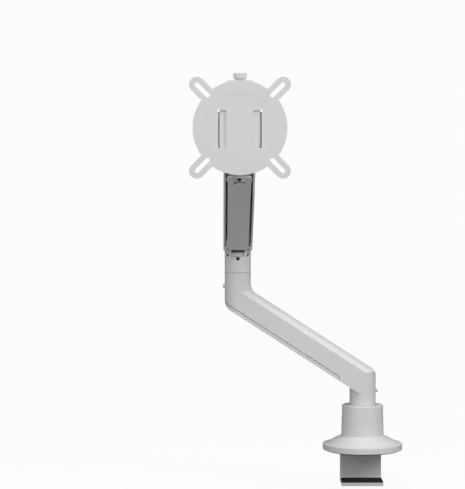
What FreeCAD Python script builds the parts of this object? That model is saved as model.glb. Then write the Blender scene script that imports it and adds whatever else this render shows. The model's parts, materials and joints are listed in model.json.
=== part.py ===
import FreeCAD, Part
import math
import os

# Monitor arm for one screen, clamped to the back edge of a desk. Millimetres.
# The origin is the centre of the base's underside, on the desk top, on the axis of the post.
# +Z is up, -Y points from the desk's back edge to the user, and the lower arm runs towards -X.

# ---- fits and clearances ----
running_play = 0.05      # radial play of a shaft in its bush, and play between thrust faces
press_play = 0.02        # radial play between pieces that are pressed or screwed together
passing_gap = 0.3        # between flat faces that slide past each other

# ---- base ----
disc_radius = 52.5
rim_top = 9.0
rim_round = 0.9
shoulder_radius = 46.0   # where the flat ring of the disc ends and its dome starts
shoulder_rise = 0.9      # how much the flat ring climbs towards the dome
dome_radius = 30.6       # the dome's inner end, where the fillet to the collar starts
dome_top = 18.4
collar_foot_radius = 28.0
collar_foot = 21.8
collar_top_radius = 27.0
collar_top = 60.0
collar_round = 0.8
housing_wall = 3.0
base_pad_thickness = 1.0
base_pad_inset = 3.0
clamp_notch_margin = 2.0  # the pad's notch, round the clamp's upright
base_plate_thickness = 3.5
base_plate_inset = 3.5
base_screw_circle = 33.0
base_screw_radius = 2.0
base_screw_head_radius = 3.6
base_screw_head = 1.9
base_screw_length = 10.0
base_boss_radius = 4.6
base_boss_height = 6.5

# ---- post bearing in the collar ----
collar_wall = 5.0        # casting round the bearing sleeve, at the collar's top
spigot_radius = 12.0
base_bush_wall = 3.0
bush_length = 12.0
bush_flange_width = 2.0
bush_flange = 1.5
neck_gap = 0.7           # ring gap round the neck at the collar's top
neck_depth = 1.5         # how far the neck reaches into the collar
retainer_overlap = 2.5   # how far the retaining washer reaches past the spigot
retainer_thickness = 2.5
retainer_screw_radius = 3.0
retainer_head_radius = 5.4
small_head_radius = 4.4
retainer_screw_length = 16.0

# ---- desk clamp ----
clamp_width = 55.0
clamp_plate = 4.0
clamp_front = 33.0       # front face of the clamp's upright, where the desk's edge goes
jaw_reach = 41.0         # depth of the jaw under the desk
jaw_plate = 4.4
jaw_bend = 5.0
desk_room = 41.0         # height between the base and the jaw's pad
jaw_pad_thickness = 2.0
jaw_pad_depth = 29.0
upright_top = 15.0
clamp_screw_back = 7.5   # from the upright's back face to the screw's axis
clamp_screw_radius = 4.0
clamp_screw_head_radius = 6.0
clamp_screw_head = 4.6
clamp_screw_socket = 2.9
clamp_screw_tail = 7.1   # below the bracket
nut_half_width = 8.0
nut_rise = 10.5          # above the jaw
nut_wall = 7.0           # behind the screw's axis

# ---- lower arm ----
lower_reach = 165.0      # between the post's axis and the elbow's axis
lower_width = 34.4
lower_rise = 106.7       # climb of the arm's centre line over its reach
neck_rise = 34.75        # from the collar's top to the centre line, on the post's axis
lower_depth = 36.5       # square to the centre line
elbow_rise = 34.05       # from the centre line to the elbow post's top, on the elbow's axis
neck_corner = 12.0
elbow_inner_corner = 15.0
elbow_outer_corner = 14.0
crown_side_drop = 8.8    # below the crest, where the flat sides end
crown_ridge_drop = 3.6
crown_ridge_inset = 3.2
cover_depth = 5.3
cover_gap = 0.6
cover_wall = 1.8
clip_thickness = 1.4
cover_start = 31.0       # from the post's axis to the near end of the cable cover
channel_half_width = 12.0
channel_roof = 11.0      # thickness of the casting over the cable channel
channel_end_wall = 22.0
spigot_in_arm = 34.0
set_screw_radius = 2.0
set_screw_head_radius = 2.4
set_screw_head = 2.5
neck_screw_rise = 19.0   # above the collar
elbow_screw_drop = 18.0

# ---- elbow ----
elbow_spigot_radius = 10.0
elbow_spigot_length = 34.0
elbow_bush_wall = 2.5
elbow_bush_length = 12.0
elbow_flange = 1.3
elbow_flange_radius = 15.0
elbow_seam = 0.3
groove_radius = 8.4
groove_height = 5.4
screw_tip_gap = 0.5
knuckle_shoulder = 3.25  # from the link's side out to the knuckle's
knuckle_height = 21.5    # above the elbow joint
knuckle_round = 2.5
lift_pivot_y = -4.0      # the upper arm's pivot, in front of the elbow's axis
lift_pivot_rise = 48.0   # above the elbow joint
link_drop = 19.0         # the link's pivot, straight below the arm's pivot
cheek_wall = 3.2
cheek_half_depth = 10.0
cheek_top_radius = 9.0
chin_rise = 5.0          # above the knuckle's top
back_wall_rise = 19.0    # above the knuckle's top
low_wall_rise = 7.0
knuckle_wall_thickness = 2.4
knuckle_screw_rise = 18.8  # above the elbow joint
knuckle_screw_radius = 1.5
knuckle_recess_radius = 2.4
knuckle_recess_depth = 2.0
anchor_drop = 10.0       # the gas spring's roller, straight below the arm's pivot
anchor_pin_radius = 2.0
anchor_roller_radius = 3.5
anchor_roller_gap = 1.5  # between the roller's ends and the cheeks

# ---- upper arm ----
upper_reach = 255.0      # between the arm's two pivots
rest_lift = 23.0         # degrees above level
lowest_lift = -37.0      # degrees, the lowest the upper arm goes
casing_half_width = 18.9
casing_wall = 2.5
casing_rise = 14.0
casing_drop = 24.5
casing_end_radius = 18.5
casing_end_drop = 20.0
casing_head_drop = 18.0
casing_taper_start = 22.0
casing_taper_end = 40.0
casing_edge_round = 3.0
casing_head_opening = 2.0
casing_back_opening = 30.0  # degrees below level where the end wall's sides stop
pivot_boss_radius = 11.5
pivot_pin_radius = 3.5
pivot_bush_radius = 6.0
pivot_cap_radius = 5.5
pivot_cap_depth = 1.0
link_side_gap = 2.4      # between the link and the casing's wall
link_wall = 2.0
link_half_depth = 5.0
link_eye_radius = 6.0
link_pin_radius = 2.5
link_pin_head_radius = 4.0
link_pin_head = 1.4
link_bush_radius = 3.6
link_floor = 1.0
link_nose = 1.5          # the link's lower edge beside the elbow
link_cover_start = 22.6
link_cover_end = 21.0    # past the link's far pivot
link_cover = 2.5
link_cover_crown = 0.5
link_cover_corner = 3.0
link_floor_end = 14.0
notch_start = -2.0       # from the link's far pivot
notch_end = 19.0
notch_half_narrow = 6.4
notch_half_wide = 8.45

# ---- gas spring ----
spring_drop = 9.3        # axis below the line between the arm's pivots
spring_radius = 6.0
spring_bore = 4.9
spring_start = 66.0
spring_tail = 12.0       # from the cylinder's end to its anchor pin
spring_cap = 4.0
rod_radius = 3.0
piston_length = 8.0
piston_depth = 62.0
push_pad_side_gap = 3.0  # between the pad's rim and the cheeks
push_pad_thickness = 4.0
push_pad_gap = 0.6
spring_anchor_inset = 29.0  # from the arm's far pivot back to the anchor pin
spring_pin_radius = 2.5
spring_eye_half = 3.0
spring_eye_radius = 5.0
lug_half_width = 8.0
lug_half_length = 7.0
lug_bottom = 14.0

# ---- head ----
head_cheek_radius = 8.0
head_toe_radius = 4.7
bridge_back = 9.0
bridge_top = 6.0
bridge_bottom = -7.0
pan_reach = 36.3         # from the arm's pivot forward to the pan axis
pan_boss_radius = 15.0
pan_boss_top = 8.0
pan_shaft_radius = 8.0
pan_bush_wall = 2.0
pan_flange_radius = 13.5
pan_flange = 1.0
pan_washer_radius = 11.0
pan_washer_thickness = 1.6
tension_screw_radius = 1.6
tension_head_radius = 2.35
tension_boss_radius = 3.3
tension_boss_reach = 5.6
tension_head_reach = 8.4
tension_drop = 1.1       # below the link's pivot

# ---- tilt and rotation ----
tilt_rise = 41.56        # from the arm's far pivot up to the tilt axis
yoke_half_depth = 9.0
yoke_foot = 9.0
yoke_ear_inner = 14.5
yoke_ear = 4.0
yoke_ear_radius = 10.0
tilt_bolt_radius = 3.5
tilt_head_radius = 6.0
tilt_head = 3.5
tilt_nut_across = 11.0
tilt_washer_radius = 9.0
tilt_washer = 1.5
tilt_block_radius = 9.5
turn_shaft_radius = 7.0
turn_shoulder_radius = 12.5
turn_shoulder = 3.0
turn_bush_wall = 2.0
turn_flange = 1.0
turn_washer_radius = 10.5
turn_washer = 1.45
turn_recess = 1.2         # from the receiver's front face back to the turn washer
receiver_back = 21.0     # from the tilt axis forward to the receiver's back face
receiver_thickness = 12.0
receiver_corner = 3.0
receiver_neck_depth = 9.0

# ---- screen plate ----
plate_radius = 55.0
plate_thickness = 2.5
dish_radius = 40.0
dish_depth = 1.4
dish_slope = 2.4
lug_half = 9.0
pattern_small = 75.0     # spacing of the inner screw pattern
pattern_large = 100.0    # spacing of the outer screw pattern
slot_half_width = 2.6
window_inner = 15.9
window_outer = 25.1
window_top = 20.0
window_bottom = -23.4
relief_radius = 1.4
tab_depth = 8.0
tab_thickness = 2.0
tab_side_gap = 1.3       # open slit between a tab and the receiver's side
top_flange_half = 14.5
top_flange_drop = 0.3    # below the disc's rim
top_flange_depth = 13.0

# ---- lock knob ----
knob_stud_radius = 2.0
knob_stud_length = 15.0
knob_base_radius = 5.5
knob_base_height = 1.8
knob_radius = 7.75
knob_height = 6.8
knob_flutes = 18
knob_flute_radius = 0.7
knob_set_back = 6.0      # behind the receiver's front face

# ---- worked out from the values above ----
base_plate_top = base_pad_thickness + base_plate_thickness
base_plate_radius = disc_radius - base_plate_inset
sleeve_outer_radius = collar_top_radius - collar_wall
sleeve_inner_radius = spigot_radius + base_bush_wall
sleeve_top = collar_top - neck_depth - bush_flange
bush_flange_radius = sleeve_inner_radius + bush_flange_width
retainer_radius = spigot_radius + retainer_overlap
neck_radius = lower_width / 2
neck_bottom = sleeve_top + bush_flange + running_play
spigot_bottom = base_plate_top - running_play
spigot_top = collar_top + spigot_in_arm
clamp_back = clamp_front + clamp_plate
clamp_screw_y = clamp_back + clamp_screw_back
jaw_top = -desk_room - jaw_pad_thickness
jaw_bottom = jaw_top - jaw_plate
jaw_front = clamp_front - jaw_reach
nut_top = jaw_top + nut_rise
nut_back = clamp_screw_y + nut_wall
clamp_screw_end = jaw_bottom - clamp_screw_tail
slope = math.atan2(lower_rise, lower_reach)
half_drop = lower_depth / 2 / math.cos(slope)
lower_start = collar_top + neck_rise
neck_screw_height = collar_top + neck_screw_rise
elbow_joint = lower_start + lower_rise + elbow_rise
elbow_screw_height = elbow_joint - elbow_screw_drop
knuckle_bottom = elbow_joint + elbow_seam + running_play
knuckle_top = elbow_joint + knuckle_height
knuckle_screw_height = elbow_joint + knuckle_screw_rise
elbow_spigot_bottom = knuckle_bottom - elbow_spigot_length
lift_pivot_z = elbow_joint + lift_pivot_rise
wall_inner = casing_half_width - casing_wall
link_half_width = wall_inner - link_side_gap
knuckle_radius = link_half_width + knuckle_shoulder
cheek_outer = link_half_width - link_wall - passing_gap
cheek_inner = cheek_outer - cheek_wall
anchor_roller_half = cheek_inner - anchor_roller_gap
bush_ends = (cheek_outer + running_play, wall_inner - running_play)
spring_anchor = upper_reach - spring_anchor_inset
spring_end = spring_anchor - spring_tail
push_pad_radius = min(cheek_inner - push_pad_side_gap, spring_drop - pivot_pin_radius - passing_gap)
yoke_ear_outer = yoke_ear_inner + yoke_ear
receiver_half_width = window_outer - tab_side_gap
receiver_flange_half = window_outer + tab_thickness + passing_gap
receiver_neck_half = top_flange_half - passing_gap
receiver_front = -receiver_back - receiver_thickness
shaft_face = receiver_front + turn_washer + turn_recess
top_flange_height = plate_radius - top_flange_drop
plate_back = receiver_front
plate_face = plate_back - dish_depth - plate_thickness


def vec(x, y, z):
    return FreeCAD.Vector(x, y, z)


elbow_axis = vec(-lower_reach, 0, 0)
lift_pivot = vec(-lower_reach, lift_pivot_y, lift_pivot_z)
link_pivot = lift_pivot - vec(0, 0, link_drop)
arm_line = vec(0, -math.cos(math.radians(rest_lift)), math.sin(math.radians(rest_lift)))
head_pivot = lift_pivot + arm_line * upper_reach
pan_axis = vec(-lower_reach, head_pivot.y - pan_reach, 0)
tilt_height = head_pivot.z + tilt_rise
tilt_centre = vec(-lower_reach, pan_axis.y, tilt_height)


# ---- shapes that many pieces use ----
def rod(radius, start, end):
    return Part.makeCylinder(radius, (end - start).Length, start, end - start)


def tube(outer, inner, start, end):
    return rod(outer, start, end).cut(rod(inner, start, end))


def block(low, high):
    return Part.makeBox(high[0] - low[0], high[1] - low[1], high[2] - low[2], vec(*low))


def rounded_face(corners):
    # a closed outline of (point, radius) corners, each rounded by a tangent arc
    edges = []
    last = None
    first = None
    count = len(corners)
    for i, (point, radius) in enumerate(corners):
        back = (corners[i - 1][0] - point).normalize()
        ahead = (corners[(i + 1) % count][0] - point).normalize()
        if radius > 0:
            half = back.getAngle(ahead) / 2
            middle = (back + ahead).normalize()
            start = point + back * (radius / math.tan(half))
            end = point + ahead * (radius / math.tan(half))
            top = point + middle * (radius / math.sin(half) - radius)
            arc = Part.Arc(start, top, end).toShape()
        else:
            start = point
            end = point
            arc = None
        if last is not None and (start - last).Length > 1e-6:
            edges.append(Part.LineSegment(last, start).toShape())
        if arc is not None:
            edges.append(arc)
        if first is None:
            first = start
        last = end
    if (first - last).Length > 1e-6:
        edges.append(Part.LineSegment(last, first).toShape())
    return Part.Face(Part.Wire(edges))


def side_slab(corners, half_width, middle=0.0):
    # an outline of (y, z, radius) corners, as thick as twice half_width along X
    points = [(vec(middle - half_width, y, z), radius) for y, z, radius in corners]
    return rounded_face(points).extrude(vec(2 * half_width, 0, 0))


def spun(points):
    # a closed outline of (radius, height) points turned about the Z axis
    outline = Part.makePolygon([vec(r, 0, z) for r, z in points + points[:1]])
    return Part.Face(outline).revolve(vec(0, 0, 0), vec(0, 0, 1), 360)


def both_sides(shape):
    # the shape and its mirror image across the plane X = 0
    return [shape, shape.mirror(vec(0, 0, 0), vec(1, 0, 0))]


def merged(first, others):
    whole = first
    for other in others:
        whole = whole.fuse(other)
    return whole.removeSplitter()


def without(first, others):
    rest = first
    for other in others:
        rest = rest.cut(other)
    return rest


def rounded(shape, radius, chosen):
    return shape.makeFillet(radius, [edge for edge in shape.Edges if chosen(edge)])


def moved(shape, offset):
    copy = shape.copy()
    copy.translate(offset)
    return copy


def on_arm(shape, pivot):
    # from the level frame of the upper arm, its pivot at the origin, to its rest angle and place
    copy = shape.copy()
    copy.rotate(vec(0, 0, 0), vec(1, 0, 0), -rest_lift)
    copy.translate(pivot)
    return copy


def socket(radius, depth, mouth, inward):
    # a hexagonal wrench socket
    side = inward.cross(vec(1, 0, 0))
    if side.Length < 0.1:
        side = inward.cross(vec(0, 1, 0))
    side.normalize()
    points = []
    for i in range(7):
        turn = FreeCAD.Rotation(inward, 60 * i)
        points.append(mouth + turn.multVec(side * radius))
    return Part.Face(Part.makePolygon(points)).extrude(inward * depth)


# ---- base ----
def upright_slot(low, high):
    reach = clamp_width / 2 + passing_gap
    return block((-reach, clamp_front - passing_gap, low), (reach, clamp_back + passing_gap, high))


def base_screw_places():
    return [vec(x, y, 0) for x in (-1, 1) for y in (-1, 1)]


def base_screw_axis(corner):
    return corner * (base_screw_circle * math.sqrt(0.5))


def screw_head_well(radius, low, high):
    return rod(radius, vec(0, clamp_screw_y, low), vec(0, clamp_screw_y, high))


def make_base_housing():
    bore = sleeve_outer_radius + press_play
    mouth = max(neck_radius, bush_flange_radius) + neck_gap
    edge = base_plate_radius + press_play
    crown_z = rim_top + shoulder_rise
    outer = [
        (vec(bore, 0, base_plate_top), 0),
        (vec(bore, 0, sleeve_top), 0),
        (vec(mouth, 0, sleeve_top), 0),
        (vec(mouth, 0, collar_top), 0),
        (vec(collar_top_radius, 0, collar_top), collar_round),
        (vec(collar_foot_radius, 0, collar_foot - 2.4), 3.2),
        (vec(dome_radius + 1.0, 0, dome_top - 0.6), 0),
        (vec((shoulder_radius + dome_radius) / 2, 0, (crown_z + dome_top) / 2 + 0.8), 40.0),
        (vec(shoulder_radius, 0, crown_z), 0),
        (vec(disc_radius, 0, rim_top), rim_round),
        (vec(disc_radius, 0, base_pad_thickness), rim_round),
        (vec(edge, 0, base_pad_thickness), 0),
        (vec(edge, 0, base_plate_top), 0),
    ]
    body = rounded_face(outer).revolve(vec(0, 0, 0), vec(0, 0, 1), 360)
    pocket = spun([
        (bore + 2 * housing_wall, base_plate_top),
        (bore + 2 * housing_wall, dome_top - housing_wall),
        (dome_radius + housing_wall, dome_top - 1.6 * housing_wall),
        (shoulder_radius, crown_z - housing_wall),
        (edge - housing_wall, crown_z - housing_wall),
        (edge - housing_wall, base_plate_top),
    ])
    bosses = [
        rod(base_boss_radius, base_screw_axis(corner), base_screw_axis(corner) + vec(0, 0, collar_foot))
        for corner in base_screw_places()
    ]
    guide = clamp_width / 2 + 2 * housing_wall
    bosses.append(block((-guide, clamp_front - housing_wall, 0), (guide, disc_radius, collar_foot)))
    body = body.cut(without(pocket, bosses))
    holes = [upright_slot(0, collar_top)]
    holes.append(screw_head_well(clamp_screw_head_radius + passing_gap, base_plate_top, collar_top))
    holes.append(screw_head_well(clamp_screw_radius + passing_gap, 0, base_plate_top))
    for corner in base_screw_places():
        start = base_screw_axis(corner) + vec(0, 0, base_plate_top)
        holes.append(rod(base_screw_radius + press_play, start, start + vec(0, 0, base_boss_height)))
    return without(body, holes)


def make_base_plate():
    body = rod(base_plate_radius, vec(0, 0, base_pad_thickness), vec(0, 0, base_plate_top))
    holes = [rod(retainer_radius + 2 * passing_gap, vec(0, 0, 0), vec(0, 0, base_plate_top))]
    holes.append(upright_slot(0, base_plate_top))
    holes.append(screw_head_well(clamp_screw_radius + passing_gap, 0, base_plate_top))
    for corner in base_screw_places():
        low = base_screw_axis(corner) + vec(0, 0, base_pad_thickness)
        head_top = low + vec(0, 0, base_screw_head)
        holes.append(rod(base_screw_head_radius + press_play, low, head_top))
        holes.append(rod(base_screw_radius + press_play, low, low + vec(0, 0, base_plate_thickness)))
    return without(body, holes)


def make_base_pad():
    body = rod(disc_radius - base_pad_inset, vec(0, 0, 0), vec(0, 0, base_pad_thickness))
    reach = clamp_width / 2 + clamp_notch_margin
    notch = block((-reach, clamp_front - clamp_notch_margin, 0), (reach, disc_radius, base_pad_thickness))
    return body.cut(notch)


def make_base_screws():
    screws = []
    for corner in base_screw_places():
        low = base_screw_axis(corner) + vec(0, 0, base_pad_thickness)
        head_top = low + vec(0, 0, base_screw_head)
        shank_top = low + vec(0, 0, base_screw_length)
        head = rod(base_screw_head_radius, low, head_top)
        screw = head.fuse(rod(base_screw_radius, low, shank_top))
        screws.append(screw.cut(socket(1.5, 1.2, low, vec(0, 0, 1))))
    return Part.makeCompound(screws)


def make_post_sleeve():
    return tube(sleeve_outer_radius, sleeve_inner_radius, vec(0, 0, base_plate_top), vec(0, 0, sleeve_top))


def make_bush(inner, outer, low, high, flange_radius=0.0, flange=0.0):
    body = tube(outer, inner, vec(0, 0, low), vec(0, 0, high))
    if flange:
        body = body.fuse(tube(flange_radius, inner, vec(0, 0, high), vec(0, 0, high + flange)))
    return body.removeSplitter()


def make_base_bushes():
    inner = spigot_radius + running_play
    outer = sleeve_inner_radius - press_play
    upper = make_bush(inner, outer, sleeve_top - bush_length, sleeve_top, bush_flange_radius, bush_flange)
    lower = make_bush(inner, outer, base_plate_top, base_plate_top + bush_length)
    return upper, lower


def make_base_spigot():
    body = rod(spigot_radius, vec(0, 0, spigot_bottom), vec(0, 0, spigot_top))
    thread = rod(retainer_screw_radius + press_play, vec(0, 0, spigot_bottom),
                 vec(0, 0, spigot_bottom + retainer_screw_length))
    return body.cut(thread)


def countersunk(head_radius, shank_radius, face, inward, length):
    # a flat-headed screw whose head lies flush with the face
    cone = Part.makeCone(head_radius, shank_radius, head_radius - shank_radius, face, inward)
    return cone.fuse(rod(shank_radius, face, face + inward * length)).removeSplitter()


def make_spigot_retainer():
    low = vec(0, 0, spigot_bottom - retainer_thickness)
    washer = rod(retainer_radius, low, vec(0, 0, spigot_bottom))
    hole = countersunk(retainer_head_radius + press_play, retainer_screw_radius + press_play,
                       low, vec(0, 0, 1), retainer_thickness)
    screw = countersunk(retainer_head_radius, retainer_screw_radius, low, vec(0, 0, 1),
                        retainer_thickness + retainer_screw_length - 1)
    screw = screw.cut(socket(2.0, 1.6, low, vec(0, 0, 1)))
    return washer.cut(hole), screw


# ---- desk clamp ----
def make_clamp_bracket():
    profile = [
        (jaw_front, jaw_top, 0.6),
        (clamp_front, jaw_top, jaw_bend - clamp_plate / 2),
        (clamp_front, upright_top, 0),
        (clamp_back, upright_top, 1.0),
        (clamp_back, jaw_bottom, jaw_bend),
        (jaw_front, jaw_bottom, 0.6),
    ]
    return side_slab(profile, clamp_width / 2)


def make_jaw_pad():
    low = (-clamp_width / 2 + 0.5, jaw_front + 0.5, jaw_top)
    high = (clamp_width / 2 - 0.5, jaw_front + 0.5 + jaw_pad_depth, jaw_top + jaw_pad_thickness)
    return rounded(block(low, high), 0.6, lambda edge: edge.BoundBox.ZMin > jaw_top + 0.1)


def make_clamp_nut():
    body = block((-nut_half_width, clamp_back, jaw_bottom), (nut_half_width, nut_back, nut_top))
    axis = vec(0, clamp_screw_y, 0)
    hole = rod(clamp_screw_radius + running_play, axis + vec(0, 0, jaw_bottom), axis + vec(0, 0, nut_top))
    edges = rounded(body, 2.0, lambda edge: edge.BoundBox.YMin > nut_back - 0.1 and edge.BoundBox.ZLength > 1)
    return edges.cut(hole)


def make_clamp_screw():
    axis = vec(0, clamp_screw_y, 0)
    seat = axis + vec(0, 0, base_plate_top + running_play)
    top = seat + vec(0, 0, clamp_screw_head)
    head = rounded(rod(clamp_screw_head_radius, seat, top), 0.6, lambda edge: edge.BoundBox.ZMin > top.z - 0.1)
    head = head.cut(socket(clamp_screw_socket, 3.0, top, vec(0, 0, -1)))
    return head.fuse(rod(clamp_screw_radius, axis + vec(0, 0, clamp_screw_end), seat)).removeSplitter()


# ---- lower arm ----
def arm_height(x, drop):
    # height of a line along the lower arm, drop below its crest, square to the arm
    return lower_start + half_drop - x * math.tan(slope) - drop / math.cos(slope)


def arm_side(corners, half_width=lower_width / 2):
    points = [(vec(x, -half_width, z), radius) for x, z, radius in corners]
    return rounded_face(points).extrude(vec(0, 2 * half_width, 0))


def arm_outline(with_post):
    left = -lower_reach - neck_radius
    inner = -lower_reach + neck_radius
    if with_post:
        upper_end = [
            (inner, arm_height(inner, 0), elbow_inner_corner),
            (inner, elbow_joint, 0),
            (left, elbow_joint, 0),
        ]
    else:
        upper_end = [(left, arm_height(left, 0), 0)]
    return [
        (neck_radius, arm_height(neck_radius, lower_depth), 0),
        (neck_radius, arm_height(neck_radius, 0), neck_corner),
    ] + upper_end + [
        (left, arm_height(left, lower_depth), elbow_outer_corner),
    ]


def arm_stadium():
    low = vec(0, 0, neck_bottom)
    high = vec(0, 0, elbow_joint)
    ends = [rod(neck_radius, low, high), rod(neck_radius, elbow_axis + low, elbow_axis + high)]
    middle = block((-lower_reach, -neck_radius, neck_bottom), (0, neck_radius, elbow_joint))
    return merged(middle, ends)


def crown_prism():
    # the lower arm's cross-section: flat sides, a narrow facet and a shallow crown
    along = vec(-math.cos(slope), 0, math.sin(slope))
    down = vec(-math.sin(slope), 0, -math.cos(slope))
    reach = 3 * neck_radius
    start = vec(0, 0, arm_height(0, 0)) - along * reach

    def point(y, drop):
        return start + down * drop + vec(0, y, 0)

    ridge = neck_radius - crown_ridge_inset
    edges = [
        Part.LineSegment(point(-neck_radius, 4 * lower_depth), point(-neck_radius, crown_side_drop)).toShape(),
        Part.LineSegment(point(-neck_radius, crown_side_drop), point(-ridge, crown_ridge_drop)).toShape(),
        Part.Arc(point(-ridge, crown_ridge_drop), point(0, 0), point(ridge, crown_ridge_drop)).toShape(),
        Part.LineSegment(point(ridge, crown_ridge_drop), point(neck_radius, crown_side_drop)).toShape(),
        Part.LineSegment(point(neck_radius, crown_side_drop), point(neck_radius, 4 * lower_depth)).toShape(),
        Part.LineSegment(point(neck_radius, 4 * lower_depth), point(-neck_radius, 4 * lower_depth)).toShape(),
    ]
    length = 2 * reach + lower_reach / math.cos(slope)
    return Part.Face(Part.Wire(edges)).extrude(along * length)


def elbow_blend():
    # the hollow round between the post's front and the arm's crown, as sections square to Y
    tangent = elbow_inner_corner * math.tan((math.pi / 2 - slope) / 2)
    ridge = neck_radius - crown_ridge_inset
    sections = []
    for share in (-1, -0.5, 0, 0.5, 1):
        y = share * ridge
        x = -lower_reach + math.sqrt(neck_radius ** 2 - y ** 2)
        drop = crown_ridge_drop * share ** 2
        corner = vec(x, y, arm_height(x, drop))
        foot = x + tangent * math.cos(slope)
        outline = [
            (vec(x - 1, y, corner.z + tangent), 0),
            (vec(x, y, corner.z + tangent), 0),
            (corner, elbow_inner_corner - 0.01),
            (vec(foot, y, arm_height(foot, drop)), 0),
            (vec(foot, y, arm_height(foot, drop + 1)), 0),
            (vec(x - 1, y, arm_height(x - 1, drop + 1)), 0),
        ]
        sections.append(rounded_face(outline).OuterWire)
    return Part.makeLoft(sections, True, False)


def lower_arm_solid():
    beam = arm_side(arm_outline(False)).common(crown_prism())
    post = arm_side(arm_outline(True)).common(rod(neck_radius, elbow_axis, elbow_axis + vec(0, 0, elbow_joint)))
    neck = rod(neck_radius, vec(0, 0, neck_bottom), vec(0, 0, arm_height(-neck_radius, lower_depth) + 1))
    return merged(beam.common(arm_stadium()), [post, neck, elbow_blend()])


def cover_region(gap):
    # the lower edge of the arm, where the cable cover goes, cut short of the neck
    near = -cover_start - gap
    far = -lower_reach - 2 * neck_radius
    top = lower_depth - cover_depth + gap
    return arm_side([
        (near, arm_height(near, top), 0),
        (far, arm_height(far, top), 0),
        (far, arm_height(far, 2 * lower_depth), 0),
        (near, arm_height(near, 2 * lower_depth), 0),
    ], lower_width)


def channel_region(top, bottom, half_width, inset):
    near = -cover_start - inset
    far = -lower_reach + channel_end_wall + inset
    return arm_side([
        (near, arm_height(near, top), 0),
        (far, arm_height(far, top), 0),
        (far, arm_height(far, bottom), 0),
        (near, arm_height(near, bottom), 0),
    ], half_width)


def make_lower_arm():
    body = lower_arm_solid()
    bush_outer = elbow_spigot_radius + elbow_bush_wall
    post_top = elbow_axis + vec(0, 0, elbow_joint)
    bore_bottom = elbow_axis + vec(0, 0, elbow_spigot_bottom - 1)
    neck_screw = vec(0, 0, neck_screw_height)
    elbow_screw = elbow_axis + vec(0, 0, elbow_screw_height)
    holes = [
        cover_region(0),
        channel_region(channel_roof, lower_depth, channel_half_width, 0),
        rod(spigot_radius + press_play, vec(0, 0, neck_bottom), vec(0, 0, spigot_top)),
        rod(bush_outer + press_play, bore_bottom, post_top),
        rod(elbow_flange_radius + passing_gap, post_top - vec(0, 0, elbow_flange - elbow_seam), post_top),
        rod(set_screw_radius + press_play, neck_screw, neck_screw + vec(2 * neck_radius, 0, 0)),
        rod(set_screw_radius + press_play, elbow_screw, elbow_screw - vec(2 * neck_radius, 0, 0)),
    ]
    return without(body, holes)


def make_lower_cable_cover():
    body = lower_arm_solid().common(cover_region(cover_gap))
    top = lower_depth - cover_depth
    hollow = channel_region(top, lower_depth - cover_wall, channel_half_width, cover_wall)
    body = body.cut(hollow)
    clips = []
    for share in (0.15, 0.5, 0.85):
        middle = -cover_start - share * (lower_reach - channel_end_wall - cover_start)
        low = arm_height(middle, lower_depth - cover_wall)
        face = channel_half_width - passing_gap
        leaf = block((middle - 3, face - clip_thickness, low), (middle + 3, face, low + 2.5 * cover_depth))
        clips += [leaf, leaf.mirror(vec(0, 0, 0), vec(0, 1, 0))]
    return merged(body, clips)


def make_set_screws():
    neck = vec(spigot_radius + press_play, 0, neck_screw_height)
    neck_screw = rod(set_screw_radius, neck, vec(neck_radius + 0.5, 0, neck.z))
    neck_face = vec(neck_radius, 0, neck.z)
    head = rod(set_screw_head_radius, neck_face, neck_face + vec(set_screw_head, 0, 0))
    mouth = neck_face + vec(set_screw_head, 0, 0)
    neck_screw = neck_screw.fuse(head.cut(socket(1.2, 1.4, mouth, vec(-1, 0, 0)))).removeSplitter()
    tip = elbow_axis + vec(-groove_radius - screw_tip_gap, 0, elbow_screw_height)
    face = elbow_axis + vec(-neck_radius, 0, tip.z)
    elbow_screw = rod(set_screw_radius, tip, face - vec(0.5, 0, 0))
    mouth = face - vec(set_screw_head, 0, 0)
    head = rod(set_screw_head_radius, face, mouth)
    elbow_screw = elbow_screw.fuse(head.cut(socket(1.2, 1.4, mouth, vec(1, 0, 0)))).removeSplitter()
    return neck_screw, elbow_screw


def make_elbow_bushes():
    inner = elbow_spigot_radius + running_play
    outer = elbow_spigot_radius + elbow_bush_wall
    seat = elbow_joint - elbow_flange + elbow_seam
    upper = make_bush(inner, outer, seat - elbow_bush_length, seat, elbow_flange_radius, elbow_flange)
    lower = make_bush(inner, outer, elbow_spigot_bottom - 1, elbow_spigot_bottom - 1 + elbow_bush_length)
    return moved(upper, elbow_axis), moved(lower, elbow_axis)


# ---- elbow ----
def make_elbow_spigot():
    body = rod(elbow_spigot_radius, vec(0, 0, elbow_spigot_bottom), vec(0, 0, knuckle_bottom + 12))
    groove = tube(elbow_spigot_radius + 1, groove_radius, vec(0, 0, elbow_screw_height - groove_height / 2),
                  vec(0, 0, elbow_screw_height + groove_height / 2))
    return moved(body.cut(groove), elbow_axis)


def cheek_pair(corners):
    cheek = side_slab(corners, (cheek_outer - cheek_inner) / 2, (cheek_outer + cheek_inner) / 2)
    return both_sides(cheek)


def knuckle_shoulders():
    # the post's two sides, carried up beside the link and hollowed where the casing turns
    low = knuckle_top - knuckle_round - 1
    body = rod(knuckle_radius, vec(0, 0, low), vec(0, 0, lift_pivot_z - anchor_drop))
    pivot = vec(0, lift_pivot_y, lift_pivot_z)
    reach = vec(knuckle_radius, 0, 0)
    sweep = casing_end_drop + 2 * passing_gap
    swept = block((-knuckle_radius, -2 * casing_taper_end, -sweep), (knuckle_radius, 0, sweep))
    swept.rotate(vec(0, 0, 0), vec(1, 0, 0), -lowest_lift)
    gap = link_half_width + passing_gap
    middle = block((-gap, -knuckle_radius, 0), (gap, knuckle_radius, lift_pivot_z))
    return [without(body, [rod(sweep, pivot - reach, pivot + reach), moved(swept, pivot), middle])]


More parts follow.
